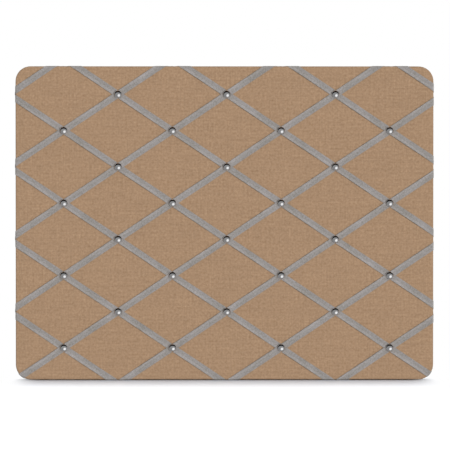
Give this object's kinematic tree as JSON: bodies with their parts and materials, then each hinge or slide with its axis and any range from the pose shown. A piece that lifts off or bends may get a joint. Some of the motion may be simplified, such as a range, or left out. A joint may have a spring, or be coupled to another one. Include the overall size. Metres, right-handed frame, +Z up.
{
  "type": "fabric memo board",
  "caption": "Frameless cloth-covered memo board with a diamond lattice of ribbons under domed studs, for tucking in notes and photographs, hung on two D-rings.",
  "frame": {"origin": "bottom centre of the whole object, at mid depth, with the board upright", "axes": "+X to the right seen from the front, +Y from the front to the wall, +Z up"},
  "size_m": [0.6116, 0.027, 0.4592],
  "materials": {
    "fibreboard": "raw fibreboard",
    "wadding": "thin needled wadding",
    "tan_cloth": "tan linen weave",
    "grey_ribbon": "grey ribbed ribbon",
    "polished_steel": "bright nickel plate",
    "backing_felt": "black felted sheet",
    "zinc_plate": "zinc plate",
    "bumper_rubber": "matt rubber"
  },
  "bodies": {
    "board": {"core_board": "fibreboard", "wadding_sheet": "wadding", "cloth_cover": "tan_cloth", "falling_ribbon_1": "grey_ribbon", "falling_ribbon_2": "grey_ribbon", "falling_ribbon_3": "grey_ribbon", "falling_ribbon_4": "grey_ribbon", "falling_ribbon_5": "grey_ribbon", "falling_ribbon_6": "grey_ribbon", "falling_ribbon_7": "grey_ribbon", "falling_ribbon_8": "grey_ribbon", "rising_ribbon_1": "grey_ribbon", "rising_ribbon_2": "grey_ribbon", "rising_ribbon_3": "grey_ribbon", "rising_ribbon_4": "grey_ribbon", "rising_ribbon_5": "grey_ribbon", "rising_ribbon_6": "grey_ribbon", "rising_ribbon_7": "grey_ribbon", "rising_ribbon_8": "grey_ribbon", "stud_1": "polished_steel", "stud_2": "polished_steel", "stud_3": "polished_steel", "stud_4": "polished_steel", "stud_5": "polished_steel", "stud_6": "polished_steel", "stud_7": "polished_steel", "stud_8": "polished_steel", "stud_9": "polished_steel", "stud_10": "polished_steel", "stud_11": "polished_steel", "stud_12": "polished_steel", "stud_13": "polished_steel", "stud_14": "polished_steel", "stud_15": "polished_steel", "stud_16": "polished_steel", "stud_17": "polished_steel", "stud_18": "polished_steel", "stud_19": "polished_steel", "stud_20": "polished_steel", "stud_21": "polished_steel", "stud_22": "polished_steel", "stud_23": "polished_steel", "stud_24": "polished_steel", "stud_25": "polished_steel", "stud_26": "polished_steel", "stud_27": "polished_steel", "stud_28": "polished_steel", "backing_sheet": "backing_felt", "left_hanger_strap": "zinc_plate", "left_hanger_screw": "zinc_plate", "right_hanger_strap": "zinc_plate", "right_hanger_screw": "zinc_plate", "left_bumper": "bumper_rubber", "right_bumper": "bumper_rubber"},
    "left_ring": {"left_hanger_ring": "zinc_plate"},
    "right_ring": {"right_hanger_ring": "zinc_plate"}
  },
  "joints": [
    {"name": "left_ring_swing", "type": "hinge", "parent": "board", "child": "left_ring", "pos_m": [-0.2448, 0.01055, 0.3442], "axis": [0, 0, 1], "range_deg": [-3, 166]},
    {"name": "right_ring_swing", "type": "hinge", "parent": "board", "child": "right_ring", "pos_m": [0.2448, 0.01055, 0.3442], "axis": [0, 0, -1], "range_deg": [-3, 166]}
  ]
}
